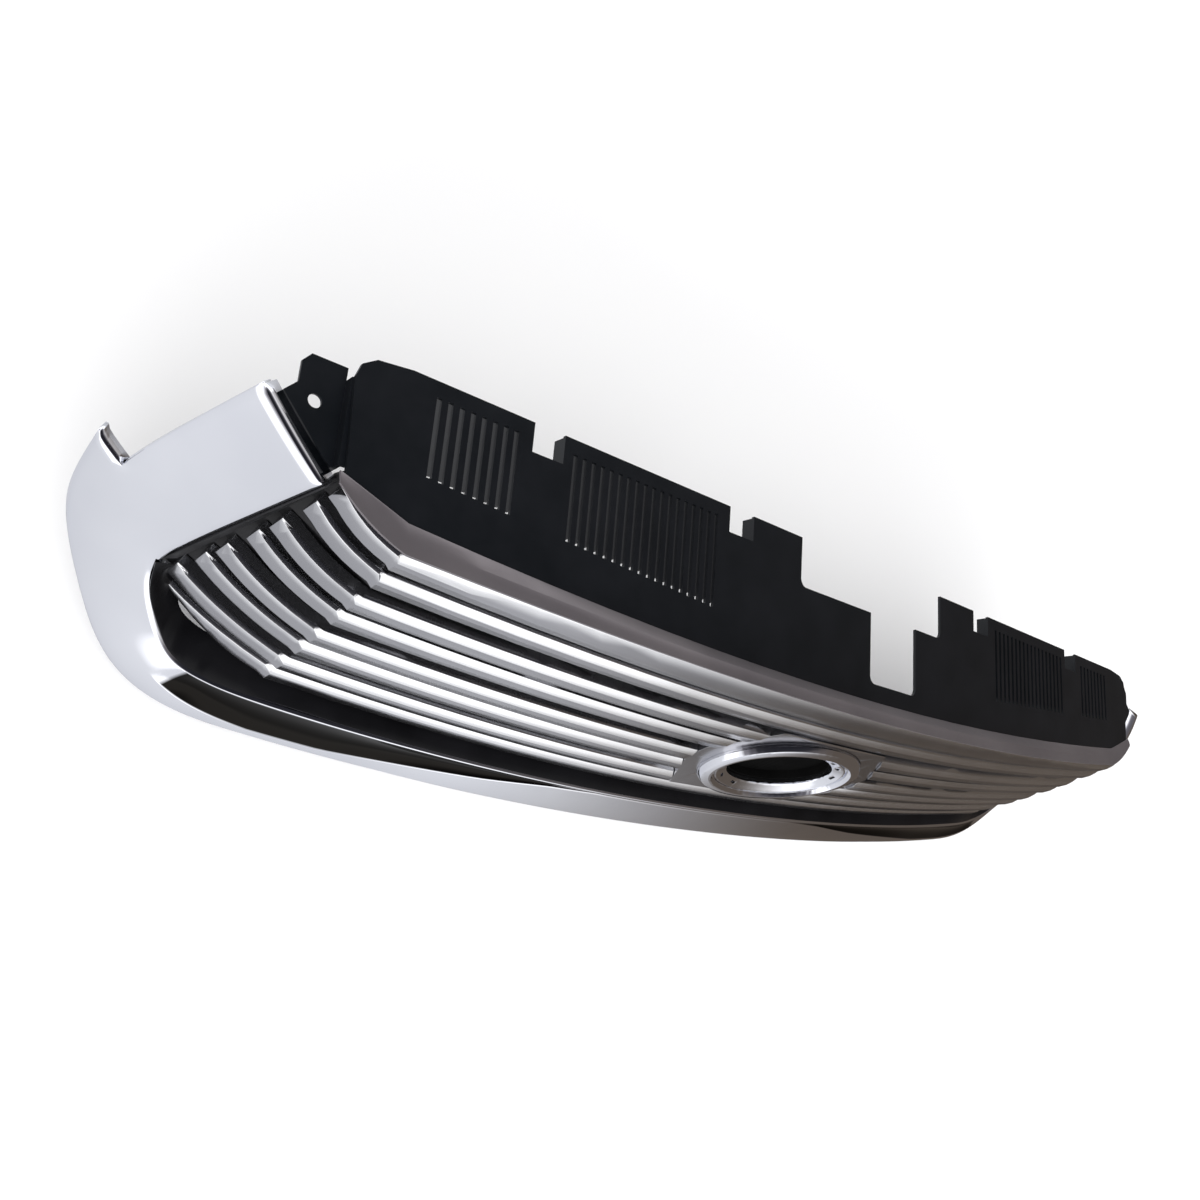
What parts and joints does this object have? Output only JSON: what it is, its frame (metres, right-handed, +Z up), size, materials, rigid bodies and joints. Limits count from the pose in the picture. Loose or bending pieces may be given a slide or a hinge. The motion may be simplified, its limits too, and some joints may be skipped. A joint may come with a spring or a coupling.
{
  "type": "car front grille",
  "caption": "Car front grille with a louvred sight shield, bowed bright slats in pairs, an oval badge bezel and a swept bright surround.",
  "frame": {"origin": "midway between the bolt holes of the two side tabs, on the tabs' top faces", "axes": "+X to one side of the car, +Y towards the rear of the car, +Z up; the grille faces -Y"},
  "size_m": [1.2262, 0.232, 0.2618],
  "materials": {
    "shield_black": "fine satin grain",
    "carrier_black": "satin",
    "gloss_black": "gloss",
    "rail_grey": "smoked metallic",
    "deep_black": "matte",
    "satin_silver": "satin plated",
    "chrome": "bright plated",
    "zinc": "zinc plated"
  },
  "bodies": {
    "root": {"carrier": "carrier_black", "emblem_cup": "deep_black", "emblem_nuts": "zinc", "emblem_ring": "chrome", "emblem_web": "satin_silver", "lower_border": "gloss_black", "side_frame_left": "carrier_black", "side_frame_right": "carrier_black", "side_tab_left": "shield_black", "side_tab_right": "shield_black", "sight_shield": "shield_black", "slat_1": "satin_silver", "slat_2": "satin_silver", "slat_3_left": "satin_silver", "slat_3_right": "satin_silver", "slat_4_left": "satin_silver", "slat_4_right": "satin_silver", "slat_5_left": "satin_silver", "slat_5_right": "satin_silver", "slat_6_left": "satin_silver", "slat_6_right": "satin_silver", "slat_7_left": "satin_silver", "slat_7_right": "satin_silver", "slat_8": "satin_silver", "surround_band": "chrome", "surround_brackets": "carrier_black", "surround_wing_left": "chrome", "surround_wing_right": "chrome", "tab_screws": "zinc", "top_rail": "rail_grey"}
  },
  "joints": []
}
